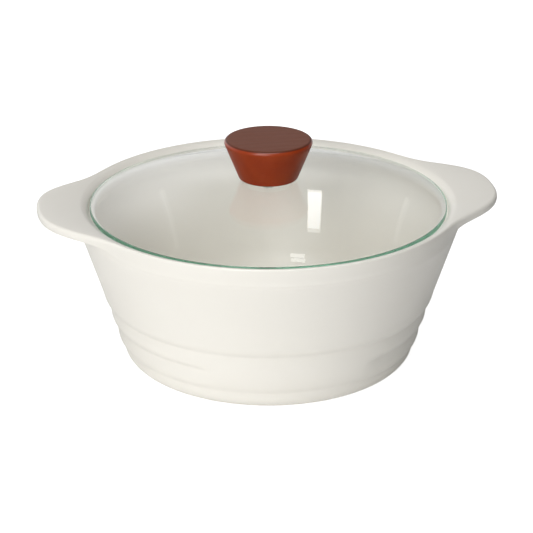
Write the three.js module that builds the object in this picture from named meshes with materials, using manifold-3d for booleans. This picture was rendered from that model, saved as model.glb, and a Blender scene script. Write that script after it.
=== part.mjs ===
// Porcelain soup pot with a domed glass lid and a turned wooden knob.
// Millimetres, +Z up. Origin: centre of the foot ring, on the table plane.
// +X runs through the middle of the two ear handles.
import * as THREE from 'three';
import * as BufferGeometryUtils from 'three/addons/utils/BufferGeometryUtils.js';
import Module from 'manifold-3d';

// ---------------------------------------------------------------- pot
const SEGMENTS = 72;            // steps around the axis for the large round pieces

const FOOT_R_IN = 64.0;         // foot ring, inner and outer radius
const FOOT_R_OUT = 72.73;
const FOOT_RECESS = 1.6;        // depth of the recess inside the foot ring
const FLOOR_Z = 7.8;            // inside of the bottom, at the middle

const WALL_TOP = [106.35, 81.5];     // outside of the straight wall, radius and height
const WALL_LOW = [93.87, 43.33];     // where the straight wall meets the first hoop
const CREASE_1 = [88.79, 35.18];     // creases between the hoops
const CREASE_2 = [85.42, 23.62];
const CREASE_3 = [81.97, 11.08];
const FRONT_FULL = 26 * Math.PI / 180;   // at the front the two hoops run together into one smooth band:
const FRONT_NONE = 38 * Math.PI / 180;   // fully within the first angle from -Y, not at all past the second

const LIP_R_LOW = 106.6;        // outside of the lip band, at its lower and upper edge
const LIP_R = 107.3;
const LIP_TOP = 92.75;          // top of the rim
const LIP_HEIGHT = 9.95;        // height of the lip band
const LIP_ROUND = 0.9;          // rounding of the rim's outer edge
const CREST = [105.6, 92.5];    // where the rim starts to roll down to the lid seat

const SEAT_Z = 86.7;            // ledge the lid rests on
const SEAT_R_IN = 96.9;         // inner edge of the ledge
const RECESS_R = 100.4;         // wall of the recess round the lid

const EAR_REACH = 21.5;         // how far an ear stands out from the lip
const EAR_HALF_ANGLE = 21.4 * Math.PI / 180;
const EAR_POWER = 3.1;          // roundness of the ear's outline
const EAR_RISE = 0.085;         // upward slope of the ears
const EAR_THICK = 5.2;          // thickness of an ear at its edge
const EAR_ROUND = 1.8;          // rounding of an ear's upper edge

// ---------------------------------------------------------------- lid
const GLASS_R = 99.5;
const GLASS_THICK = 4.0;
const GLASS_EDGE_Z = 87.0;      // lowest edge of the glass, 0.3 above the ledge
const GLASS_RISE = 12.85;       // rise of the dome from edge to middle
const GLASS_HOLE_R = 4.0;

const KNOB_R_TOP = 25.4;
const KNOB_R_BOTTOM = 16.2;
const KNOB_Z = 104.9;
const KNOB_TOP = 127.55;
const KNOB_EDGE = 2.0;

const INSERT_R = 3.6;           // brass insert in the knob
const INSERT_BORE_R = 2.25;
const INSERT_LENGTH = 12.0;

const GASKET_R = 12.0;          // pad between knob and glass
const GASKET_Z = 104.1;
const GASKET_THICK = 0.5;

const SLEEVE_R = 3.7;           // sleeve in the hole of the glass, flange below it
const SLEEVE_BORE_R = 2.3;
const FLANGE_R = 7.0;
const FLANGE_THICK = 0.5;
const FLANGE_TOP = 99.5;

const WASHER_R = 5.5;
const WASHER_BORE_R = 2.25;
const WASHER_THICK = 0.5;

const SCREW_R = 1.95;           // M4 screw
const SCREW_HEAD_R = 4.0;
const SCREW_HEAD_H = 1.1;       // low head
const SCREW_TIP_Z = 114.8;
const GAP = 0.3;                // clearance between touching pieces
const STACK_GAP = 0.2;          // clearance between the flat pieces under the glass

// ---------------------------------------------------------------- helpers
const V = (r, z) => new THREE.Vector2(r, z);

function bezier(p0, p1, p2, p3, n) {
  const c = new THREE.CubicBezierCurve(V(...p0), V(...p1), V(...p2), V(...p3));
  return c.getPoints(n).slice(1).map((p) => [p.x, p.y]);
}

// A profile turned around the vertical axis.
function lathe(profile, segments) {
  const g = new THREE.LatheGeometry(profile.map((p) => V(Math.max(p[0], 0), p[1])), segments);
  g.rotateX(Math.PI / 2);
  return g;
}

// Position-only geometry with shared vertices, faces outward.
function clean(geometry) {
  let g = geometry.clone();
  g.deleteAttribute('normal');
  g.deleteAttribute('uv');
  g = BufferGeometryUtils.mergeVertices(g, 1e-3);
  const idx = [];
  const src = g.index.array;
  const pos = g.attributes.position;
  let volume = 0;
  const a = new THREE.Vector3(), b = new THREE.Vector3(), c = new THREE.Vector3();
  for (let i = 0; i < src.length; i += 3) {
    if (src[i] === src[i + 1] || src[i + 1] === src[i + 2] || src[i] === src[i + 2]) continue;
    idx.push(src[i], src[i + 1], src[i + 2]);
    a.fromBufferAttribute(pos, src[i]);
    b.fromBufferAttribute(pos, src[i + 1]);
    c.fromBufferAttribute(pos, src[i + 2]);
    volume += a.dot(b.clone().cross(c)) / 6;
  }
  if (volume < 0) for (let i = 0; i < idx.length; i += 3) [idx[i + 1], idx[i + 2]] = [idx[i + 2], idx[i + 1]];
  g.setIndex(idx);
  return g;
}

const wasm = await Module();
wasm.setup();

function solid(geometry) {
  const g = clean(geometry);
  return new wasm.Manifold(new wasm.Mesh({
    numProp: 3,
    vertProperties: new Float32Array(g.attributes.position.array),
    triVerts: new Uint32Array(g.index.array),
  }));
}

function fromSolid(s) {
  const m = s.getMesh();
  const g = new THREE.BufferGeometry();
  g.setAttribute('position', new THREE.BufferAttribute(new Float32Array(m.vertProperties), 3));
  g.setIndex(new THREE.BufferAttribute(new Uint32Array(m.triVerts), 1));
  return g;
}

const root = new THREE.Group();

function part(name, geometry, color, roughness, metalness, extra = {}) {
  const g = geometry.index && !geometry.attributes.uv ? geometry : clean(geometry);
  g.computeVertexNormals();
  const mesh = new THREE.Mesh(g, new THREE.MeshStandardMaterial({ color, roughness, metalness, ...extra }));
  mesh.name = name;
  root.add(mesh);
  return mesh;
}

// ---------------------------------------------------------------- pot body
// How far the ear stands out from the lip at an angle from the +X axis.
function earReach(angle) {
  const off = Math.acos(Math.min(1, Math.abs(Math.cos(angle))));
  return EAR_REACH * Math.exp(-Math.pow(off / EAR_HALF_ANGLE, EAR_POWER));
}

// Section of the lip band where the ear stands out by e, from the wall's top
// edge, along the underside, around the edge and back over the top to the crest.
function lipSection(e) {
  const g = 1 - Math.exp(-e / 2.5);
  const tip = LIP_R + e;
  const top = LIP_TOP + EAR_RISE * e;
  const low = top - (EAR_THICK + (LIP_HEIGHT - EAR_THICK) * (1 - g));
  const under = LIP_R_LOW * (1 - g) + (tip - 2.0) * g;
  const turn = LIP_ROUND + (EAR_ROUND - LIP_ROUND) * g;
  const pts = [];
  for (const s of [0.12, 0.32, 0.66]) {
    pts.push([WALL_TOP[0] + (under - WALL_TOP[0]) * s,
      WALL_TOP[1] + (low - WALL_TOP[1]) * (1 - Math.pow(1 - s, 3))]);
  }
  for (const t of [0, 45, 90]) {
    const a = t * Math.PI / 180;
    pts.push([under + 2.0 * g * Math.sin(a), low + 2.0 * (1 - Math.cos(a))]);
  }
  for (const t of [0, 30, 60, 90]) {
    const a = t * Math.PI / 180;
    pts.push([tip - turn * (1 - Math.cos(a)), top - turn * (1 - Math.sin(a))]);
  }
  const edge = tip - turn;
  pts.push([CREST[0] + (edge - CREST[0]) * 0.5, CREST[1] + (top - CREST[1]) * 0.7]);
  return pts;
}

const lower = [
  [0, FOOT_RECESS], [FOOT_R_IN - 1.6, FOOT_RECESS], [FOOT_R_IN, 0], [FOOT_R_OUT, 0],
  ...bezier([FOOT_R_OUT, 0], [77.55, 0.66], [83.77, 5.32], CREASE_3, 6),
  ...bezier(CREASE_3, [85.92, 13.84], [86.24, 16.85], CREASE_2, 5),
  ...bezier(CREASE_2, [89.59, 26.05], [90.01, 28.94], CREASE_1, 5),
  ...bezier(CREASE_1, [92.16, 36.97], [93.30, 39.74], WALL_LOW, 4),
  [(WALL_LOW[0] + WALL_TOP[0]) / 2, (WALL_LOW[1] + WALL_TOP[1]) / 2],
  WALL_TOP,
];
const HOOPS_FROM = 10;          // points of the outline on the two hoops
const HOOPS_TO = 18;
const bandCurve = [CREASE_3, ...bezier(CREASE_3, [86.5, 14.2], [89.7, 25.4], CREASE_1, 80)];
// Radius of the smooth front band at a height.
function bandRadius(z) {
  let k = 1;
  while (k < bandCurve.length - 1 && bandCurve[k][1] < z) k++;
  const [r0, z0] = bandCurve[k - 1], [r1, z1] = bandCurve[k];
  return r0 + (r1 - r0) * (z - z0) / (z1 - z0);
}
// How much of the smooth band there is at an angle from the +X axis.
function frontShare(angle) {
  const off = Math.acos(Math.max(-1, Math.min(1, -Math.sin(angle))));
  const t = Math.max(0, Math.min(1, (FRONT_NONE - off) / (FRONT_NONE - FRONT_FULL)));
  return t * t * (3 - 2 * t);
}
const lip = lipSection(0);
const inner = [
  CREST, [104.5, 92.25], [103.2, 91.65], [102.0, 90.85], [101.1, 90.0], [100.55, 89.1], [RECESS_R, 88.2], [100.2, 87.2],
  [99.7, SEAT_Z], [SEAT_R_IN, SEAT_Z], [96.1, 86.2], [95.8, 85.0],
  [96.2, 83.0], [97.3, 81.0], [98.0, 79.0], [97.9, 76.0], [96.3, 70.0], [93.4, 61.5], [88.6, 47.5], [84.9, 35.5], [80.4, 24.0],
  [75.2, 16.0], [66.5, 10.4], [54.0, 8.3], [0, FLOOR_Z],
];
const potProfile = [...lower, ...lip, ...inner];
const potGeometry = lathe(potProfile, SEGMENTS);
{
  const n = potProfile.length;
  const pos = potGeometry.attributes.position;
  for (let i = 0; i <= SEGMENTS; i++) {
    const k = i % SEGMENTS;
    const ref = k * n + lower.length;
    const angle = Math.atan2(pos.getY(ref), pos.getX(ref));
    const e = earReach(angle);
    const section = lipSection(e);
    for (let j = 0; j < section.length; j++) {
      pos.setXYZ(i * n + lower.length + j,
        section[j][0] * Math.cos(angle), section[j][0] * Math.sin(angle), section[j][1]);
    }
    const share = frontShare(angle);
    for (let j = HOOPS_FROM; j <= HOOPS_TO && share > 0; j++) {
      const [r, z] = lower[j];
      const q = r + (bandRadius(z) - r) * share;
      pos.setXYZ(i * n + j, q * Math.cos(angle), q * Math.sin(angle), z);
    }
  }
}
part('pot_body', potGeometry, 0xefebe2, 0.32, 0.0);

// ---------------------------------------------------------------- glass lid
const glassTop = GLASS_EDGE_Z + GLASS_THICK;
function domeZ(r) { return GLASS_RISE * (1 - (r / GLASS_R) ** 2); }
const glassProfile = [];
for (const r of [GLASS_HOLE_R, 18, 40, 60, 78, 92]) glassProfile.push([r, GLASS_EDGE_Z + domeZ(r)]);
glassProfile.push([98.3, GLASS_EDGE_Z + domeZ(98.3)], [99.05, GLASS_EDGE_Z + 0.75], [GLASS_R, GLASS_EDGE_Z + 1.6],
  [GLASS_R, glassTop - 0.35], [99.15, glassTop + domeZ(99.15)]);
for (const r of [92, 78, 60, 40, 18, GLASS_HOLE_R]) glassProfile.push([r, glassTop + domeZ(r)]);
glassProfile.push(glassProfile[0]);
part('lid_glass', lathe(glassProfile, SEGMENTS), 0xd6e6df, 0.03, 0.0, { transparent: true, opacity: 0.35 });

// ---------------------------------------------------------------- knob
const slope = (KNOB_R_TOP - KNOB_R_BOTTOM) / (KNOB_TOP - KNOB_Z);
const knobProfile = [
  [INSERT_R + GAP, KNOB_Z + INSERT_LENGTH + 1.0],
  [INSERT_R + GAP, KNOB_Z],
  [KNOB_R_BOTTOM - 1.0, KNOB_Z],
  [KNOB_R_BOTTOM - 0.1, KNOB_Z + 0.5],
  [KNOB_R_BOTTOM + 0.5, KNOB_Z + 1.4],
  [KNOB_R_TOP - slope * 3.0, KNOB_TOP - 3.0],
  [KNOB_R_TOP - 0.15, KNOB_TOP - 1.3],
  [KNOB_R_TOP - 0.6, KNOB_TOP - 0.5],
  [KNOB_R_TOP - KNOB_EDGE, KNOB_TOP],
  [0, KNOB_TOP],
];
part('lid_knob', lathe([[0, KNOB_Z + INSERT_LENGTH + 1.0], ...knobProfile], 48), 0x8a3d20, 0.38, 0.0);

// Brass insert: a sleeve with two knurled bands, as plain rings here.
const insertTop = KNOB_Z + GAP + INSERT_LENGTH;
part('knob_insert', lathe([
  [INSERT_BORE_R, KNOB_Z + GAP], [INSERT_R, KNOB_Z + GAP], [INSERT_R, KNOB_Z + 4.6], [INSERT_R - 0.6, KNOB_Z + 5.2],
  [INSERT_R - 0.6, KNOB_Z + 7.2], [INSERT_R, KNOB_Z + 7.8], [INSERT_R, insertTop], [INSERT_BORE_R, insertTop],
  [INSERT_BORE_R, KNOB_Z + GAP],
], 24), 0xb8964f, 0.35, 1.0);

// ---------------------------------------------------------------- seals
part('knob_gasket', lathe([
  [SLEEVE_R + 0.4, GASKET_Z], [GASKET_R, GASKET_Z], [GASKET_R, GASKET_Z + GASKET_THICK],
  [SLEEVE_R + 0.4, GASKET_Z + GASKET_THICK], [SLEEVE_R + 0.4, GASKET_Z],
], 36), 0xd9d6cf, 0.6, 0.0);

part('hole_grommet', lathe([
  [SLEEVE_BORE_R, FLANGE_TOP - FLANGE_THICK], [FLANGE_R, FLANGE_TOP - FLANGE_THICK], [FLANGE_R, FLANGE_TOP],
  [SLEEVE_R, FLANGE_TOP], [SLEEVE_R, GASKET_Z - 0.1], [SLEEVE_BORE_R, GASKET_Z - 0.1],
  [SLEEVE_BORE_R, FLANGE_TOP - FLANGE_THICK],
], 36), 0xd9d6cf, 0.6, 0.0);

// ---------------------------------------------------------------- fasteners
const washerTop = FLANGE_TOP - FLANGE_THICK - STACK_GAP;
part('screw_washer', lathe([
  [WASHER_BORE_R, washerTop - WASHER_THICK], [WASHER_R - 0.15, washerTop - WASHER_THICK],
  [WASHER_R, washerTop - WASHER_THICK + 0.15], [WASHER_R, washerTop], [WASHER_BORE_R, washerTop],
  [WASHER_BORE_R, washerTop - WASHER_THICK],
], 36), 0xc4c6c8, 0.28, 1.0);

const headTop = washerTop - WASHER_THICK - STACK_GAP;
const headLow = headTop - SCREW_HEAD_H;
const screwBlank = solid(lathe([
  [0, headLow], [SCREW_HEAD_R - 1.2, headLow], [SCREW_HEAD_R - 0.4, headLow + 0.28], [SCREW_HEAD_R, headLow + 0.75],
  [SCREW_HEAD_R, headTop], [SCREW_R, headTop], [SCREW_R, SCREW_TIP_Z - 0.8], [SCREW_R - 0.8, SCREW_TIP_Z],
  [0, SCREW_TIP_Z],
], 24));
// Cross recess for the driver, open downwards.
const crossA = new THREE.BoxGeometry(3.6, 0.8, 1.4).translate(0, 0, headLow);
const crossB = new THREE.BoxGeometry(0.8, 3.6, 1.4).translate(0, 0, headLow);
part('knob_screw', fromSolid(screwBlank.subtract(solid(crossA)).subtract(solid(crossB))), 0xc4c6c8, 0.25, 1.0);

export default root;
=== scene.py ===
import math

import bpy
import numpy as np
from mathutils import Matrix, Vector


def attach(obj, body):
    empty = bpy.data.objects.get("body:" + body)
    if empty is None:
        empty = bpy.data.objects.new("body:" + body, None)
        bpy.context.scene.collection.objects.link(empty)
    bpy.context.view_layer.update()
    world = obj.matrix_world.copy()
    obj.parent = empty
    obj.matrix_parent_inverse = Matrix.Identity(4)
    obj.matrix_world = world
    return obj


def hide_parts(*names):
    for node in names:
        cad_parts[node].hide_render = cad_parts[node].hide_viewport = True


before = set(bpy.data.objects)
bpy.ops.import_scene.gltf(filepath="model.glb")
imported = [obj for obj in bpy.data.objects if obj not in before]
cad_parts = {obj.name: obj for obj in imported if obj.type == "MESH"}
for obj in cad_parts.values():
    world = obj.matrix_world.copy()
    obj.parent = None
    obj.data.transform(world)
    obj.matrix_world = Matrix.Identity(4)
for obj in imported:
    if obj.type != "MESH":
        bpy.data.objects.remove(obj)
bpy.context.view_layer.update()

MM = 0.001

# ------------------------------------------------------------------ sizes (mm, as in the CAD model)
FOOT_R_IN, FOOT_R_OUT, FOOT_RECESS, FLOOR_Z = 64.0, 72.73, 1.6, 7.8
WALL_TOP, WALL_LOW = (106.35, 81.5), (93.87, 43.33)
CREASE_1, CREASE_2, CREASE_3 = (88.79, 35.18), (85.42, 23.62), (81.97, 11.08)
FRONT_FULL, FRONT_NONE = math.radians(26), math.radians(38)     # smooth band at the front, half angles from -Y
CREASE_SOFT = 1.1                                               # how far the glaze rounds the creases
LIP_R_LOW, LIP_R, LIP_TOP, LIP_HEIGHT, LIP_ROUND = 106.6, 107.3, 92.75, 9.95, 0.9
CREST_R, CREST_Z = 105.6, 92.5
SEAT_Z, SEAT_R_IN, RECESS_R = 86.7, 96.9, 100.4
EAR_REACH, EAR_HALF, EAR_POWER, EAR_RISE, EAR_THICK, EAR_ROUND = 21.5, math.radians(21.4), 3.1, 0.085, 5.2, 1.8
GLASS_R, GLASS_T, GLASS_Z, GLASS_RISE, GLASS_HOLE = 99.5, 4.0, 87.0, 12.85, 4.0
KNOB_RT, KNOB_RB, KNOB_Z, KNOB_TOP = 25.4, 16.2, 104.9, 127.55
PAD_Z, PAD_T, FLANGE_TOP, FLANGE_T, WASHER_T, HEAD_H, SCREW_TIP = 104.1, 0.5, 99.5, 0.5, 0.5, 1.1, 114.8


# ------------------------------------------------------------------ profile helpers
def bez(p0, p1, p2, p3, n, ends=True):
    """Cubic curve, with the points closer together at both ends."""
    u = np.linspace(0, 1, n)
    t = (0.5 - 0.5 * np.cos(np.pi * u))[:, None]
    p0, p1, p2, p3 = (np.array(p, float) for p in (p0, p1, p2, p3))
    c = (1 - t) ** 3 * p0 + 3 * t * (1 - t) ** 2 * p1 + 3 * t * t * (1 - t) * p2 + t ** 3 * p3
    return [tuple(p) for p in (c if ends else c[1:])]


def smooth_through(points, per):
    """Catmull-Rom curve through points, per steps in each span."""
    p = np.array(points, float)
    p = np.vstack([2 * p[0] - p[1], p, 2 * p[-1] - p[-2]])
    out = []
    for i in range(1, len(p) - 2):
        a, b, c, d = p[i - 1], p[i], p[i + 1], p[i + 2]
        t0 = 0.0
        t1 = t0 + np.linalg.norm(b - a) ** 0.5
        t2 = t1 + np.linalg.norm(c - b) ** 0.5
        t3 = t2 + np.linalg.norm(d - c) ** 0.5
        for t in np.linspace(t1, t2, per, endpoint=False):
            a1 = (t1 - t) / (t1 - t0) * a + (t - t0) / (t1 - t0) * b
            a2 = (t2 - t) / (t2 - t1) * b + (t - t1) / (t2 - t1) * c
            a3 = (t3 - t) / (t3 - t2) * c + (t - t2) / (t3 - t2) * d
            b1 = (t2 - t) / (t2 - t0) * a1 + (t - t0) / (t2 - t0) * a2
            b2 = (t3 - t) / (t3 - t1) * a2 + (t - t1) / (t3 - t1) * a3
            out.append(tuple((t2 - t) / (t2 - t1) * b1 + (t - t1) / (t2 - t1) * b2))
    out.append(tuple(p[-2]))
    return out


def fillet(points, radii, closed=False, n=6, support=0.35):
    """Polygon with round corners, and a support point beside each round so that flats shade flat."""
    p = [np.array(q, float) for q in points]
    m = len(p)
    out = []
    for i in range(m):
        r = radii[i]
        if r <= 0 or (not closed and i in (0, m - 1)):
            out.append(tuple(p[i]))
            continue
        a, b, c = p[i - 1], p[i], p[(i + 1) % m]
        u, v = (a - b) / np.linalg.norm(a - b), (c - b) / np.linalg.norm(c - b)
        ang = math.acos(max(-1, min(1, float(u @ v))))
        if abs(math.pi - ang) < 1e-3:
            out.append(tuple(b))
            continue
        t = r / math.tan(ang / 2)
        t = min(t, 0.49 * np.linalg.norm(a - b), 0.49 * np.linalg.norm(c - b))
        r = t * math.tan(ang / 2)
        mid = (u + v) / np.linalg.norm(u + v)
        o = b + mid * (r / math.sin(ang / 2))
        s, e = b + u * t, b + v * t
        la, lc = np.linalg.norm(a - b), np.linalg.norm(c - b)
        if t + support * r < 0.5 * la:
            out.append(tuple(b + u * (t + support * r)))
        a0 = math.atan2(*(s - o)[::-1])
        a1 = math.atan2(*(e - o)[::-1])
        d = (a1 - a0 + math.pi) % (2 * math.pi) - math.pi
        for k in range(n + 1):
            w = a0 + d * k / n
            out.append((o[0] + r * math.cos(w), o[1] + r * math.sin(w)))
        if t + support * r < 0.5 * lc:
            out.append(tuple(b + v * (t + support * r)))
    return out


def new_object(name, verts, faces, materials, face_slots=None, smooth=True):
    mesh = bpy.data.meshes.new(name)
    mesh.from_pydata([tuple(float(c) for c in v) for v in verts], [], faces)
    mesh.validate(clean_customdata=False)
    if smooth:
        mesh.polygons.foreach_set("use_smooth", [True] * len(mesh.polygons))
    for m in materials:
        mesh.materials.append(m)
    if face_slots is not None:
        mesh.polygons.foreach_set("material_index", face_slots)
    mesh.update()
    ob = bpy.data.objects.new(name, mesh)
    bpy.context.scene.collection.objects.link(ob)
    return ob


def turned(name, section, steps, materials, closed=False, slot_of=None, section_at=None):
    """A section turned round Z. section_at(angle) may give another section with as many points.
    The section runs so that the outside is on its right-hand side when it climbs the outer wall."""
    n = len(section)
    on_axis = [p[0] < 1e-6 for p in section]
    verts, rows = [], []
    axis_index = {}
    for i in range(steps):
        a = 2 * math.pi * i / steps
        sec = section_at(a) if section_at else section
        row = []
        for j, (r, z) in enumerate(sec):
            if on_axis[j]:
                if j not in axis_index:
                    axis_index[j] = len(verts)
                    verts.append((0, 0, z * MM))
                row.append(axis_index[j])
            else:
                row.append(len(verts))
                verts.append((r * math.cos(a) * MM, r * math.sin(a) * MM, z * MM))
        rows.append(row)
    faces, slots = [], []
    last = n if closed else n - 1
    for i in range(steps):
        a, b = rows[i], rows[(i + 1) % steps]
        for j in range(last):
            k = (j + 1) % n
            q = [a[j], b[j], b[k], a[k]]
            q = [x for t, x in enumerate(q) if x != q[t - 1]]
            if len(q) < 3:
                continue
            faces.append(q)
            slots.append(slot_of(j) if slot_of else 0)
    return new_object(name, verts, faces, materials, slots)


# ------------------------------------------------------------------ materials
class Nodes:
    """Short way to wire a material."""

    def __init__(self, name):
        self.mat = bpy.data.materials.new(name)
        self.mat.use_nodes = True
        self.nt = self.mat.node_tree
        self.nt.nodes.clear()
        self.out = self.add("ShaderNodeOutputMaterial")

    def add(self, kind, **props):
        n = self.nt.nodes.new(kind)
        for k, v in props.items():
            setattr(n, k, v)
        return n

    def link(self, a, b):
        self.nt.links.new(a, b)

    def coords(self, scale=(1, 1, 1), rotation=(0, 0, 0), location=(0, 0, 0)):
        tc = self.add("ShaderNodeTexCoord")
        mp = self.add("ShaderNodeMapping")
        mp.inputs["Scale"].default_value = scale
        mp.inputs["Rotation"].default_value = rotation
        mp.inputs["Location"].default_value = location
        self.link(tc.outputs["Object"], mp.inputs["Vector"])
        return mp.outputs["Vector"]

    def noise(self, vector, scale, detail=3.0, rough=0.5, distortion=0.0):
        n = self.add("ShaderNodeTexNoise")
        n.inputs["Scale"].default_value = scale
        n.inputs["Detail"].default_value = detail
        n.inputs["Roughness"].default_value = rough
        n.inputs["Distortion"].default_value = distortion
        self.link(vector, n.inputs["Vector"])
        return n.outputs["Fac"]

    def ramp(self, fac, stops):
        r = self.add("ShaderNodeValToRGB")
        el = r.color_ramp.elements
        while len(el) > len(stops):
            el.remove(el[-1])
        while len(el) < len(stops):
            el.new(0.5)
        for e, (pos, col) in zip(el, stops):
            e.position = pos
            e.color = (*col, 1) if len(col) == 3 else col
        self.link(fac, r.inputs["Fac"])
        return r.outputs["Color"]

    def mix(self, fac, a, b, blend="MIX"):
        m = self.add("ShaderNodeMix", data_type="RGBA", blend_type=blend)
        ins = {s.identifier: s for s in m.inputs}
        for key, val in (("Factor_Float", fac), ("A_Color", a), ("B_Color", b)):
            if isinstance(val, (int, float)):
                ins[key].default_value = val
            elif isinstance(val, tuple):
                ins[key].default_value = (*val, 1) if len(val) == 3 else val
            else:
                self.link(val, ins[key])
        outs = {s.identifier: s for s in m.outputs}
        return outs["Result_Color"]

    def math(self, op, a, b=None, clamp=False):
        m = self.add("ShaderNodeMath", operation=op, use_clamp=clamp)
        for i, v in enumerate((a, b)):
            if v is None:
                continue
            if isinstance(v, (int, float)):
                m.inputs[i].default_value = v
            else:
                self.link(v, m.inputs[i])
        return m.outputs[0]

    def span(self, value, lo, hi, a=0.0, b=1.0, smooth=False):
        m = self.add("ShaderNodeMapRange")
        if smooth:
            m.interpolation_type = "SMOOTHSTEP"
        for key, v in (("From Min", lo), ("From Max", hi), ("To Min", a), ("To Max", b)):
            m.inputs[key].default_value = v
        self.link(value, m.inputs["Value"])
        return m.outputs["Result"]

    def bump(self, height, strength, distance, normal=None):
        b = self.add("ShaderNodeBump")
        b.inputs["Strength"].default_value = strength
        b.inputs["Distance"].default_value = distance
        self.link(height, b.inputs["Height"])
        if normal is not None:
            self.link(normal, b.inputs["Normal"])
        return b.outputs["Normal"]

    def principled(self, **values):
        p = self.add("ShaderNodeBsdfPrincipled")
        for k, v in values.items():
            p.inputs[k].default_value = v
        self.link(p.outputs[0], self.out.inputs["Surface"])
        return p


def porcelain():
    """Off-white satin glaze over white clay, bare and rough on the foot ring."""
    n = Nodes("porcelain_glaze")
    p = n.principled(**{"Specular IOR Level": 0.5, "IOR": 1.5, "Coat Weight": 0.18, "Coat Roughness": 0.22})
    v = n.coords()
    broad = n.noise(v, 9.0, 3.0, 0.5)
    cloud = n.noise(v, 38.0, 4.0, 0.6)
    fine = n.noise(v, 900.0, 2.0, 0.5)
    glaze = n.ramp(broad, [(0.25, (0.892, 0.864, 0.793)), (0.75, (0.910, 0.885, 0.820))])
    glaze = n.mix(n.span(cloud, 0.45, 0.75, 0.0, 0.35), glaze, (0.886, 0.855, 0.779))
    # tiny iron specks under the glaze, faint and far apart
    speck = n.add("ShaderNodeTexVoronoi", feature="F1")
    speck.inputs["Scale"].default_value = 170.0
    n.link(v, speck.inputs["Vector"])
    dot = n.span(speck.outputs["Distance"], 0.035, 0.06, 1.0, 0.0, True)
    pick = n.span(speck.outputs["Color"], 0.93, 0.95, 0.0, 1.0)
    glaze = n.mix(n.math("MULTIPLY", n.math("MULTIPLY", dot, pick), 0.22), glaze, (0.52, 0.44, 0.34))
    # bare clay on the foot ring and inside its edge
    xyz = n.add("ShaderNodeSeparateXYZ")
    n.link(v, xyz.inputs["Vector"])
    wobble = n.span(n.noise(v, 60.0, 2.0), 0.3, 0.7, -0.00025, 0.00025)
    bare = n.span(n.math("ADD", xyz.outputs["Z"], wobble), 0.00055, 0.00085, 1.0, 0.0, True)
    clay = n.ramp(n.noise(v, 420.0, 4.0, 0.65), [(0.3, (0.66, 0.61, 0.53)), (0.7, (0.76, 0.72, 0.65))])
    n.link(n.mix(bare, glaze, clay), p.inputs["Base Color"])
    rough = n.math("ADD", n.span(cloud, 0.3, 0.7, 0.34, 0.44), n.math("MULTIPLY", bare, 0.4))
    n.link(rough, p.inputs["Roughness"])
    # glaze skin: long soft waves and a fine orange peel; sandy clay where it is bare
    h1 = n.bump(n.noise(v, 55.0, 2.0), 0.10, 0.0006)
    h2 = n.bump(n.noise(v, 260.0, 2.0), 0.05, 0.00015, h1)
    grit = n.math("MULTIPLY", fine, n.span(bare, 0.0, 1.0, 0.12, 1.0))
    n.link(n.bump(grit, 0.12, 0.0001, h2), p.inputs["Normal"])
    return n.mat


def lid_glass():
    """Clear float glass, green in its depth, ground matt round the edge and in the hole.
    Lamp light and diffuse light pass straight through to the bowl."""
    n = Nodes("lid_glass_clear")
    p = n.add("ShaderNodeBsdfPrincipled")
    for k, val in {"IOR": 1.5, "Transmission Weight": 1.0}.items():
        p.inputs[k].default_value = val
    v = n.coords()
    xyz = n.add("ShaderNodeSeparateXYZ")
    n.link(v, xyz.inputs["Vector"])
    r = n.math("SQRT", n.math("ADD", n.math("MULTIPLY", xyz.outputs["X"], xyz.outputs["X"]),
                              n.math("MULTIPLY", xyz.outputs["Y"], xyz.outputs["Y"])))
    ground = n.math("MAXIMUM", n.span(r, 0.09915, 0.09935, 0.0, 1.0), n.span(r, 0.00405, 0.0042, 1.0, 0.0))
    grit = n.noise(v, 1500.0, 2.0)
    n.link(n.math("MULTIPLY", ground, n.span(grit, 0.3, 0.7, 0.26, 0.40)), p.inputs["Roughness"])
    n.link(n.mix(ground, (1.0, 1.0, 1.0), (0.25, 0.56, 0.41)), p.inputs["Base Color"])
    n.link(n.bump(n.noise(v, 14.0, 1.0), 0.03, 0.0004), p.inputs["Normal"])
    clear = n.add("ShaderNodeBsdfTransparent")
    clear.inputs["Color"].default_value = (0.95, 0.95, 0.95, 1)
    path = n.add("ShaderNodeLightPath")
    fac = n.math("MAXIMUM", path.outputs["Is Shadow Ray"], path.outputs["Is Diffuse Ray"])
    mixer = n.add("ShaderNodeMixShader")
    n.link(fac, mixer.inputs[0])
    n.link(p.outputs[0], mixer.inputs[1])
    n.link(clear.outputs[0], mixer.inputs[2])
    n.link(mixer.outputs[0], n.out.inputs["Surface"])
    body = n.add("ShaderNodeVolumeAbsorption")
    body.inputs["Color"].default_value = (0.0, 0.67, 0.36, 1)
    body.inputs["Density"].default_value = 2.5
    n.link(body.outputs[0], n.out.inputs["Volume"])
    return n.mat


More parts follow.
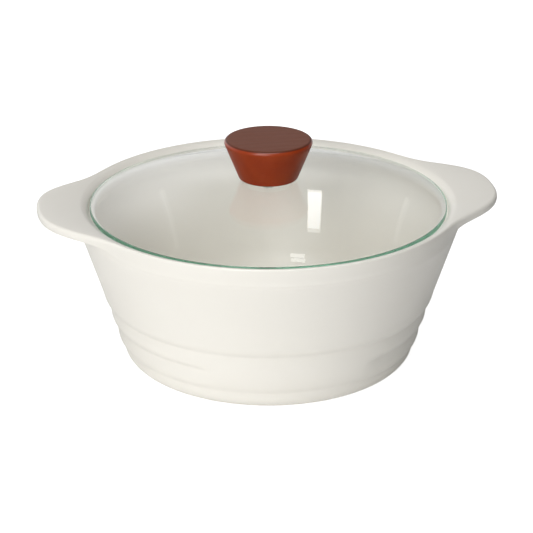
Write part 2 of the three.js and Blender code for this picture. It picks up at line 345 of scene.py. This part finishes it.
def knob_wood():
    """Hardwood under a smooth red-brown satin lacquer; the top face is painted darker and greyer, painted shade with a
    painted reflection veil. Quiet grain along X.
    """
    n = Nodes("knob_wood")
    p = n.principled(**{"Specular IOR Level": 0.15, "IOR": 1.5, "Coat Roughness": 0.24})
    v = n.coords()
    xyz = n.add("ShaderNodeSeparateXYZ")
    n.link(v, xyz.inputs["Vector"])
    warp = n.noise(n.coords((1.0, 2.2, 2.2)), 22.0, 3.0, 0.5)
    wave = n.add("ShaderNodeTexWave", wave_type="BANDS", bands_direction="Y", wave_profile="SIN")
    wave.inputs["Scale"].default_value = 46.0
    wave.inputs["Distortion"].default_value = 5.0
    wave.inputs["Detail"].default_value = 3.0
    wave.inputs["Detail Scale"].default_value = 0.8
    n.link(n.coords((0.22, 1.0, 0.8)), wave.inputs["Vector"])
    streak = n.noise(n.coords((1.0, 7.0, 7.0)), 55.0, 5.0, 0.62, 0.25)
    pore = n.noise(n.coords((0.9, 14.0, 14.0)), 150.0, 2.0, 0.5)
    tone = n.math("ADD", n.math("MULTIPLY", wave.outputs["Fac"], 0.3), n.math("MULTIPLY", streak, 0.7))
    side = n.ramp(tone, [(0.22, (0.292, 0.034, 0.0055)), (0.50, (0.318, 0.039, 0.0065)), (0.78, (0.346, 0.045, 0.0080))])
    side = n.mix(n.span(warp, 0.35, 0.7, 0.0, 0.4), side, (0.300, 0.036, 0.0060))
    # painted shade and painted reflection: the top face is darker than the side and greyed by a pale veil
    top = n.ramp(tone, [(0.22, (0.166, 0.046, 0.0210)), (0.50, (0.174, 0.049, 0.0225)), (0.78, (0.182, 0.052, 0.0240))])
    painted_top_mask = n.span(xyz.outputs["Z"], (KNOB_TOP - 0.75) * MM, (KNOB_TOP - 0.1) * MM, 0.0, 1.0, True)
    col = n.mix(painted_top_mask, side, top)
    # a thin dark line round the top's edge
    line = n.math("MULTIPLY", n.span(xyz.outputs["Z"], (KNOB_TOP - 0.75) * MM, (KNOB_TOP - 0.5) * MM, 0.0, 1.0, True),
                  n.span(xyz.outputs["Z"], (KNOB_TOP - 0.16) * MM, (KNOB_TOP - 0.03) * MM, 1.0, 0.0, True))
    col = n.mix(n.math("MULTIPLY", line, 0.6), col, (0.060, 0.014, 0.008))
    col = n.mix(n.span(pore, 0.60, 0.70, 0.0, 0.14, True), col, (0.070, 0.014, 0.006))
    n.link(col, p.inputs["Base Color"])
    n.link(n.span(streak, 0.3, 0.7, 0.42, 0.50), p.inputs["Roughness"])
    # the lacquer lies thickest on the rounded edge below the top face
    edge = n.math("MULTIPLY", n.span(xyz.outputs["Z"], (KNOB_TOP - 1.9) * MM, (KNOB_TOP - 1.1) * MM, 0.0, 1.0, True),
                  n.span(xyz.outputs["Z"], (KNOB_TOP - 0.6) * MM, (KNOB_TOP - 0.35) * MM, 1.0, 0.0, True))
    n.link(n.span(edge, 0.0, 1.0, 0.12, 0.85), p.inputs["Coat Weight"])
    b = n.bump(streak, 0.05, 0.00008)
    b = n.bump(n.span(pore, 0.60, 0.72, 1.0, 0.0, True), 0.05, 0.00004, b)
    n.link(b, p.inputs["Normal"])
    return n.mat


def stainless(name, spin_scale):
    """Plain stainless steel, turned or stamped, with fine ring marks."""
    n = Nodes(name)
    p = n.principled(**{"Metallic": 1.0})
    v = n.coords()
    xyz = n.add("ShaderNodeSeparateXYZ")
    n.link(v, xyz.inputs["Vector"])
    r2 = n.math("ADD", n.math("MULTIPLY", xyz.outputs["X"], xyz.outputs["X"]),
                n.math("MULTIPLY", xyz.outputs["Y"], xyz.outputs["Y"]))
    r = n.math("SQRT", r2)
    ring = n.math("SINE", n.math("MULTIPLY", r, spin_scale))
    worn = n.noise(v, 500.0, 4.0, 0.6)
    n.link(n.ramp(worn, [(0.3, (0.60, 0.605, 0.61)), (0.7, (0.70, 0.705, 0.71))]), p.inputs["Base Color"])
    n.link(n.span(worn, 0.3, 0.7, 0.20, 0.32), p.inputs["Roughness"])
    n.link(n.bump(ring, 0.08, 0.00002), p.inputs["Normal"])
    return n.mat


def brass():
    n = Nodes("insert_brass")
    p = n.principled(**{"Metallic": 1.0})
    v = n.coords()
    worn = n.noise(v, 420.0, 4.0, 0.6)
    n.link(n.ramp(worn, [(0.3, (0.58, 0.40, 0.15)), (0.7, (0.70, 0.51, 0.22))]), p.inputs["Base Color"])
    n.link(n.span(worn, 0.3, 0.7, 0.24, 0.38), p.inputs["Roughness"])
    n.link(n.bump(n.noise(v, 900.0, 2.0), 0.1, 0.00003), p.inputs["Normal"])
    return n.mat


def silicone():
    """Milky translucent silicone rubber."""
    n = Nodes("milky_silicone")
    p = n.principled(**{"Subsurface Weight": 0.35, "Subsurface Scale": 0.003, "Specular IOR Level": 0.4})
    v = n.coords()
    cloud = n.noise(v, 260.0, 3.0, 0.55)
    n.link(n.ramp(cloud, [(0.3, (0.70, 0.69, 0.65)), (0.7, (0.77, 0.76, 0.73))]), p.inputs["Base Color"])
    n.link(n.span(cloud, 0.3, 0.7, 0.46, 0.58), p.inputs["Roughness"])
    n.link(n.bump(n.noise(v, 1200.0, 2.0), 0.12, 0.00004), p.inputs["Normal"])
    return n.mat


M_POT = porcelain()
M_GLASS = lid_glass()
M_WOOD = knob_wood()
M_SCREW = stainless("screw_stainless", 26000.0)
M_WASHER = stainless("washer_stainless", 18000.0)
M_BRASS = brass()
M_SILICONE = silicone()

# ------------------------------------------------------------------ pot
def ear_reach(a):
    off = math.acos(min(1.0, abs(math.cos(a))))
    return EAR_REACH * math.exp(-((off / EAR_HALF) ** EAR_POWER))


def lip_section(e):
    """From the wall's top edge, along the underside, round the edge and over the top to the crest."""
    g = 1 - math.exp(-e / 2.5)
    tip = LIP_R + e
    top = LIP_TOP + EAR_RISE * e
    low = top - (EAR_THICK + (LIP_HEIGHT - EAR_THICK) * (1 - g))
    under = LIP_R_LOW * (1 - g) + (tip - 2.0) * g
    turn = LIP_ROUND + (EAR_ROUND - LIP_ROUND) * g
    pts = []
    for s in (0.03, 0.07, 0.12, 0.2, 0.32, 0.48, 0.66, 0.84):
        pts.append((WALL_TOP[0] + (under - WALL_TOP[0]) * s,
                    WALL_TOP[1] + (low - WALL_TOP[1]) * (1 - (1 - s) ** 3)))
    for t in range(0, 91, 15):
        a = math.radians(t)
        pts.append((under + 2.0 * g * math.sin(a), low + 2.0 * (1 - math.cos(a))))
    (r0, z0), (r1, z1) = pts[-1], (tip, top - turn)
    for s in (0.25, 0.5, 0.75):
        pts.append((r0 + (r1 - r0) * s + 0.12 * math.sin(math.pi * s), z0 + (z1 - z0) * s))
    for t in range(0, 91, 10):
        a = math.radians(t)
        pts.append((tip - turn * (1 - math.cos(a)), top - turn * (1 - math.sin(a))))
    edge = tip - turn
    for s in (0.97, 0.9, 0.78, 0.62, 0.46, 0.3, 0.16, 0.06):
        pts.append((CREST_R + (edge - CREST_R) * s, CREST_Z + (top - CREST_Z) * (1 - (1 - s) ** 1.7)))
    return pts


lower = fillet([(0, FOOT_RECESS), (FOOT_R_IN - 1.6, FOOT_RECESS), (FOOT_R_IN, 0), (FOOT_R_OUT, 0)],
               [0, 1.2, 0.6, 0], n=4)
lower.insert(1, (30.0, FOOT_RECESS))
soft_from = len(lower) + 8
lower += bez((FOOT_R_OUT, 0), (77.55, 0.66), (83.77, 5.32), CREASE_3, 22, False)
hoops_from = len(lower)
lower += bez(CREASE_3, (85.92, 13.84), (86.24, 16.85), CREASE_2, 20, False)
lower += bez(CREASE_2, (89.59, 26.05), (90.01, 28.94), CREASE_1, 20, False)
hoops_to = len(lower) - 1
lower += bez(CREASE_1, (92.16, 36.97), (93.30, 39.74), WALL_LOW, 16, False)
soft_to = len(lower) + 3
for s in (0.02, 0.06, 0.15, 0.3, 0.45, 0.6, 0.75, 0.88, 0.96, 1.0):
    lower.append((WALL_LOW[0] + (WALL_TOP[0] - WALL_LOW[0]) * s, WALL_LOW[1] + (WALL_TOP[1] - WALL_LOW[1]) * s))
seat = smooth_through([(CREST_R, CREST_Z), (104.5, 92.25), (103.2, 91.65), (102.0, 90.85), (101.1, 90.0), (100.55, 89.1),
                       (RECESS_R, 88.2), (100.2, 87.2), (99.7, SEAT_Z + 0.08), (99.1, SEAT_Z)], 4)
# the ledge stands a little proud of the wall below it
bowl = smooth_through([(SEAT_R_IN + 0.25, SEAT_Z), (SEAT_R_IN - 0.25, SEAT_Z - 0.08), (96.1, 86.2), (95.8, 85.0), (96.2, 83.0), (97.3, 81.0), (98.0, 79.0),
                       (97.9, 76.0), (96.3, 70.0), (93.4, 61.5), (88.9, 47.5), (84.9, 35.5), (80.4, 24.0),
                       (75.2, 16.0), (66.5, 10.4), (54.0, 8.3), (36.0, 7.9), (14.0, FLOOR_Z), (0, FLOOR_Z)], 7)
upper = seat + bowl
upper[-1] = (0.0, FLOOR_Z)


def soften(points, first, last, width):
    """Rounds the corners of an outline between two of its points."""
    p = np.array(points, float)
    part = p[first:last]
    s = np.concatenate([[0], np.cumsum(np.linalg.norm(np.diff(part, axis=0), axis=1))])
    fine = np.arange(-4 * width, s[-1] + 4 * width, 0.05)
    g = np.exp(-0.5 * (np.arange(-3 * width, 3 * width + 0.025, 0.05) / width) ** 2)
    g /= g.sum()
    out = []
    for k in (0, 1):
        q = np.interp(fine, s, part[:, k])
        # the ends run on straight
        head, tail = fine < 0, fine > s[-1]
        q[head] = part[0, k] + (part[1, k] - part[0, k]) / (s[1] - s[0]) * fine[head]
        q[tail] = part[-1, k] + (part[-1, k] - part[-2, k]) / (s[-1] - s[-2]) * (fine[tail] - s[-1])
        out.append(np.interp(s, fine, np.convolve(q, g, "same")))
    new = np.stack(out, 1)
    fade = np.clip(np.minimum(s, s[-1] - s) / 2.0, 0, 1)[:, None]
    p[first:last] = part + (new - part) * fade
    return p


# at the front the two upper hoops run together into one smooth band
band = np.array(bez(CREASE_3, (86.5, 14.2), (89.7, 25.4), CREASE_1, 80))
hooped = np.array(lower, float)
banded = hooped.copy()
banded[hoops_from:hoops_to, 0] = np.interp(banded[hoops_from:hoops_to, 1], band[:, 1], band[:, 0])
hooped = soften(hooped, soft_from, soft_to, CREASE_SOFT)
banded = soften(banded, soft_from, soft_to, CREASE_SOFT)


def pot_section(a):
    off = math.acos(max(-1.0, min(1.0, -math.sin(a))))
    t = max(0.0, min(1.0, (FRONT_NONE - off) / (FRONT_NONE - FRONT_FULL)))
    wall = hooped + (banded - hooped) * (t * t * (3 - 2 * t))
    return [tuple(p) for p in wall] + lip_section(ear_reach(a)) + upper


pot = turned("porcelain_pot", pot_section(math.pi / 2), 360, [M_POT], section_at=pot_section)
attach(pot, "pot")
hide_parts("pot_body")


# ------------------------------------------------------------------ lid
def dome(r):
    return GLASS_RISE * (1 - (r / GLASS_R) ** 2)


ARRIS = 0.35                                   # small bevel along the ground edges
face_r = [GLASS_HOLE + 0.25, 5, 8, 14, 22, 30, 40, 50, 60, 68, 76, 82, 88, 92, 95, 97]
rim_r = GLASS_R - ARRIS
glass_sec = [(r, GLASS_Z + dome(r)) for r in face_r]
# the lower edge is ground well round, the upper one only broken
glass_sec += fillet([(97.0, GLASS_Z + dome(97.0)), (98.3, GLASS_Z + dome(98.3)), (99.05, GLASS_Z + 0.75), (GLASS_R, GLASS_Z + 1.6),
                     (GLASS_R, GLASS_Z + GLASS_T - ARRIS), (rim_r, GLASS_Z + GLASS_T + dome(rim_r)),
                     (97.0, GLASS_Z + GLASS_T + dome(97.0))], [0, 0.8, 0.9, 0.9, 0.15, 0.12, 0], n=4)[1:-1]
glass_sec += [(r, GLASS_Z + GLASS_T + dome(r)) for r in reversed(face_r)]
glass_sec += [(GLASS_HOLE, GLASS_Z + GLASS_T + dome(4) - 0.25), (GLASS_HOLE, GLASS_Z + dome(4) + GLASS_T / 2),
              (GLASS_HOLE, GLASS_Z + dome(4) + 0.25)]
glass = turned("domed_glass", glass_sec, 288, [M_GLASS], closed=True)
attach(glass, "lid")
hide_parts("lid_glass")

slope = (KNOB_RT - KNOB_RB) / (KNOB_TOP - KNOB_Z)
knob_sec = fillet([(0, KNOB_Z + 13.0), (3.9, KNOB_Z + 13.0), (3.9, KNOB_Z), (KNOB_RB, KNOB_Z), (KNOB_RT, KNOB_TOP), (0, KNOB_TOP)],
                  [0, 0.3, 0.4, 1.3, 2.0, 0], n=9)
knob_sec.insert(-1, (12.0, KNOB_TOP))
knob = turned("turned_knob", knob_sec, 192, [M_WOOD])
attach(knob, "lid")
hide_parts("lid_knob")

# brass insert: knurled outside, bored and chamfered inside
ins_r, ins_b, z0, z1 = 3.6, 2.25, KNOB_Z + 0.3, KNOB_Z + 12.3


def insert_section(a):
    k = 0.12 * (0.5 + 0.5 * math.cos(24 * a))
    pts = [(ins_b + 0.35, z0), (ins_r - 0.25, z0), (ins_r - k, z0 + 0.3), (ins_r - k, z0 + 4.1), (ins_r - 0.6, z0 + 4.8),
           (ins_r - 0.6, z0 + 6.8), (ins_r - k, z0 + 7.5), (ins_r - k, z1 - 0.3), (ins_r - 0.25, z1), (ins_b + 0.35, z1),
           (ins_b, z1 - 0.35), (ins_b, (z0 + z1) / 2), (ins_b, z0 + 0.35)]
    return pts


insert = turned("brass_insert", insert_section(0), 192, [M_BRASS], closed=True, section_at=insert_section)
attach(insert, "lid")
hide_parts("knob_insert")

pad_sec = fillet([(4.1, PAD_Z), (12.0, PAD_Z), (12.0, PAD_Z + PAD_T), (4.1, PAD_Z + PAD_T)], [0.15, 0.22, 0.22, 0.15], closed=True, n=4)
pad = turned("silicone_pad", pad_sec, 96, [M_SILICONE], closed=True)
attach(pad, "lid")
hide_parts("knob_gasket")

sleeve_sec = fillet([(2.3, FLANGE_TOP - FLANGE_T), (7.0, FLANGE_TOP - FLANGE_T), (7.0, FLANGE_TOP), (3.7, FLANGE_TOP), (3.7, PAD_Z - 0.1),
                     (2.3, PAD_Z - 0.1)],
                    [0.15, 0.22, 0.22, 0.25, 0.2, 0.2], closed=True, n=4)
sleeve = turned("silicone_grommet", sleeve_sec, 96, [M_SILICONE], closed=True)
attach(sleeve, "lid")
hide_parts("hole_grommet")

wash_z = FLANGE_TOP - FLANGE_T - 0.2 - WASHER_T
washer_sec = fillet([(2.25, wash_z), (5.5, wash_z), (5.5, wash_z + WASHER_T), (2.25, wash_z + WASHER_T)], [0.08, 0.18, 0.1, 0.06],
                    closed=True, n=4)
washer = turned("steel_washer", washer_sec, 96, [M_WASHER], closed=True)
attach(washer, "lid_carrier")
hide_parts("screw_washer")

# low-head screw with a cross recess; the shank carries a thread up to its tip
head_low, head_top, tip_z = wash_z - 0.2 - HEAD_H, wash_z - 0.2, SCREW_TIP


def screw_section(a):
    pts = []
    cross = abs(math.cos(2 * a)) ** 6          # the arms of the recess
    arm = 0.7 + 1.1 * cross
    for r, d in ((0.0, 0.72), (0.25, 0.72), (0.45, 0.68)):
        pts.append((r, head_low + d))
    pts += [(arm * 0.86, head_low + 0.52), (arm, head_low + 0.1), (arm + 0.14, head_low + 0.005)]
    pts += [(2.6, head_low + 0.01), (3.1, head_low + 0.09), (3.5, head_low + 0.26), (3.8, head_low + 0.5), (3.95, head_low + 0.72),
            (4.0, head_low + 0.88), (3.95, head_top - 0.05), (3.82, head_top), (2.2, head_top), (1.95, head_top + 0.2)]
    z = head_top + 0.5
    pitch = 0.7
    while z < tip_z - 0.6:
        ph = (z / pitch - a / (2 * math.pi)) % 1.0
        pts.append((1.62 + 0.33 * (1 - abs(2 * ph - 1)), z))
        z += pitch / 6
    pts += [(1.5, tip_z - 0.45), (1.1, tip_z - 0.05), (0.0, tip_z)]
    return pts


screw = turned("low_head_screw", screw_section(0), 96, [M_SCREW], section_at=screw_section)
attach(screw, "lid")
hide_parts("knob_screw")

# ------------------------------------------------------------------ stage
AZ, EL = math.radians(-9.2), 0.384213732        # the camera stands this far round from -Y and this high
FLOOR_GLOW = 0.85       # the paper floor is lit from below, which only the picture sees
FLOOR_BOUNCE = 0.15     # light it gives back to the pot, in front and to the left


def floor_material():
    n = Nodes("pale_floor")
    p = n.principled(**{"Base Color": (0.84, 0.84, 0.84, 1), "Roughness": 0.9, "Specular IOR Level": 0.0,
                        "Emission Color": (1, 1, 1, 1)})
    path = n.add("ShaderNodeLightPath")
    # seen straight on or straight through glass; in a reflection only well behind the pot
    mirrored = n.math("GREATER_THAN", path.outputs["Glossy Depth"], 0.5)
    sharp = n.math("MAXIMUM", path.outputs["Is Transmission Ray"], path.outputs["Is Glossy Ray"])
    direct = n.math("MULTIPLY", path.outputs["Is Transmission Ray"], n.math("SUBTRACT", 1.0, mirrored))
    seen = n.math("MAXIMUM", path.outputs["Is Camera Ray"], direct)
    xyz = n.add("ShaderNodeSeparateXYZ")
    n.link(n.coords(), xyz.inputs["Vector"])
    far = n.span(xyz.outputs["Y"], 0.25, 0.7, 0.0, 0.65, True)
    out = n.math("SQRT", n.math("ADD", n.math("MULTIPLY", xyz.outputs["X"], xyz.outputs["X"]),
                                n.math("MULTIPLY", xyz.outputs["Y"], xyz.outputs["Y"])))
    seen = n.math("MULTIPLY", seen, n.span(out, 0.4, 1.6, 1.0, 1.2, True))
    glow = n.math("MAXIMUM", seen, n.math("MULTIPLY", far, n.math("MULTIPLY", mirrored, sharp)))
    side = n.math("ADD", n.math("MULTIPLY", xyz.outputs["X"], math.cos(AZ)), n.math("MULTIPLY", xyz.outputs["Y"], math.sin(AZ)))
    bounce = n.math("MULTIPLY", path.outputs["Is Diffuse Ray"], n.span(side, 0.0, 0.16, FLOOR_BOUNCE, 0.0, True))
    n.link(n.math("ADD", n.math("MULTIPLY", glow, FLOOR_GLOW), bounce), p.inputs["Emission Strength"])
    n.mat.cycles.emission_sampling = "NONE"     # its light depends on the kind of ray, so it is not sampled as a lamp
    return n.mat


bpy.ops.mesh.primitive_plane_add(size=14.0, location=(0, 0, -0.0002))
floor = bpy.context.object
floor.name = "studio_floor"
floor.data.materials.append(floor_material())


# ------------------------------------------------------------------ camera
TARGET = Vector((0, 0, 0.0511117))
DIST = 1.2
right = Vector((math.cos(AZ), math.sin(AZ), 0))
back = Vector((math.sin(AZ) * math.cos(EL), -math.cos(AZ) * math.cos(EL), math.sin(EL)))
up = back.cross(right)
shift = right * (-1.9 / 2122.72 * DIST) + up * (0.5 / 2122.72 * DIST)
cam_data = bpy.data.cameras.new("camera")
cam_data.sensor_width = 36.0
cam_data.lens = 2122.72 * 36.0 / 533.0
cam_data.clip_start, cam_data.clip_end = 0.05, 50
cam = bpy.data.objects.new("camera", cam_data)
bpy.context.scene.collection.objects.link(cam)
cam.location = TARGET + back * DIST + shift
cam.rotation_mode = "QUATERNION"
cam.rotation_quaternion = (-back).to_track_quat("-Z", "Y")
bpy.context.scene.camera = cam


# ------------------------------------------------------------------ surroundings
def surroundings():
    """White room, bright where the picture sees it. As a light it is a pale wall behind the pot: brighter on the
    left, fading upwards, with a dimmer gap in the middle above the table."""
    world = bpy.data.worlds.new("studio_world")
    bpy.context.scene.world = world
    world.use_nodes = True
    nt = world.node_tree
    nt.nodes.clear()
    link = nt.links.new
    out = nt.nodes.new("ShaderNodeOutputWorld")
    bg = nt.nodes.new("ShaderNodeBackground")
    link(bg.outputs[0], out.inputs["Surface"])
    way = nt.nodes.new("ShaderNodeTexCoord").outputs["Generated"]

    def along(direction):
        d = nt.nodes.new("ShaderNodeVectorMath")
        d.operation = "DOT_PRODUCT"
        link(way, d.inputs[0])
        d.inputs[1].default_value = direction
        return d.outputs["Value"]

    def ramp(value, lo, hi, a, b):
        m = nt.nodes.new("ShaderNodeMapRange")
        m.interpolation_type = "SMOOTHSTEP"
        for key, v in (("From Min", lo), ("From Max", hi), ("To Min", a), ("To Max", b)):
            m.inputs[key].default_value = v
        link(value, m.inputs["Value"])
        return m.outputs["Result"]

    def calc(op, a, b=None):
        m = nt.nodes.new("ShaderNodeMath")
        m.operation = op
        for i, v in enumerate((a, b)):
            if isinstance(v, (int, float)):
                m.inputs[i].default_value = v
            elif v is not None:
                link(v, m.inputs[i])
        return m.outputs[0]

    height = along((0, 0, 1))
    left = along((-math.cos(AZ), -math.sin(AZ), 0))
    a = AZ + math.radians(-155)
    wall = calc("MULTIPLY", ramp(along((math.sin(a), -math.cos(a), 0)), 0.1, 0.6, 0.0, 1.0), ramp(height, 0.37, 0.79, 1.0, 0.0))
    wall = calc("MULTIPLY", wall, ramp(left, -0.15, 0.2, 0.55, 1.12))
    gap = calc("MULTIPLY", ramp(calc("ABSOLUTE", left), 0.06, 0.18, 1.0, 0.0), ramp(height, 0.25, 0.40, 0.0, 0.52))
    wall = calc("MULTIPLY", wall, calc("SUBTRACT", 1.0, gap))
    path = nt.nodes.new("ShaderNodeLightPath")
    direct = calc("MULTIPLY", path.outputs["Is Transmission Ray"], calc("LESS_THAN", path.outputs["Glossy Depth"], 0.5))
    seen = calc("MAXIMUM", path.outputs["Is Camera Ray"], direct)
    link(calc("ADD", calc("ADD", wall, 0.02), seen), bg.inputs["Strength"])


surroundings()


# ------------------------------------------------------------------ lights
def area(name, az, el, dist, size, power, target=(0, 0, 0.09)):
    """Rectangular soft light. az is measured from the camera's side, positive to the right."""
    a = AZ + math.radians(az)
    e = math.radians(el)
    d = Vector((math.sin(a) * math.cos(e), -math.cos(a) * math.cos(e), math.sin(e)))
    data = bpy.data.lights.new(name, "AREA")
    data.shape = "RECTANGLE"
    data.size, data.size_y = size
    data.energy = power
    ob = bpy.data.objects.new(name, data)
    bpy.context.scene.collection.objects.link(ob)
    ob.location = Vector(target) + d * dist
    ob.rotation_mode = "QUATERNION"
    ob.rotation_quaternion = (-d).to_track_quat("-Z", "Y")
    return ob


def strip(name, low, high, width, power):
    """Long narrow light between two points, turned to the lid."""
    low, high = Vector(low), Vector(high)
    mid = (low + high) / 2
    y = (high - low).normalized()
    z = mid - Vector((0, 0, 0.09))
    z = (z - y * z.dot(y)).normalized()
    x = y.cross(z)
    data = bpy.data.lights.new(name, "AREA")
    data.shape = "RECTANGLE"
    data.size, data.size_y = width, (high - low).length
    data.energy = power
    ob = bpy.data.objects.new(name, data)
    bpy.context.scene.collection.objects.link(ob)
    ob.location = mid
    ob.rotation_mode = "QUATERNION"
    ob.rotation_quaternion = Matrix((x, y, z)).transposed().to_quaternion()
    return ob


area("key_softbox", -18.6, 23.8, 1.6, (1.0, 1.1), 15.5)
area("high_softbox", -28, 57, 1.6, (0.3, 0.3), 1.8)
area("top_softbox", 0, 80, 1.6, (0.9, 0.9), 10.4)
# narrow panels behind the pot, seen as reflections in the glass
strip("back_panel", (0.500, 1.935, 0.995), (0.465, 1.590, 1.476), 0.056, 0.212)
strip("back_panel_high", (0.369, 1.376, 1.695), (0.361, 1.341, 1.723), 0.068, 0.0269)
strip("back_edge_right", (0.833, 1.909, 0.830), (0.816, 1.511, 1.414), 0.012, 0.009)
strip("back_edge_left", (-0.062, 2.081, 0.828), (-0.173, 1.551, 1.576), 0.020, 0.012)

scene = bpy.context.scene
scene.view_settings.view_transform = "Standard"
scene.view_settings.look = "None"
scene.cycles.use_denoising = True
# light that enters the edge of the glass bounces along the pane many times before it leaves
scene.cycles.max_bounces = 64
scene.cycles.transmission_bounces = 48
scene.cycles.glossy_bounces = 48
scene.cycles.diffuse_bounces = 6
scene.cycles.transparent_max_bounces = 16
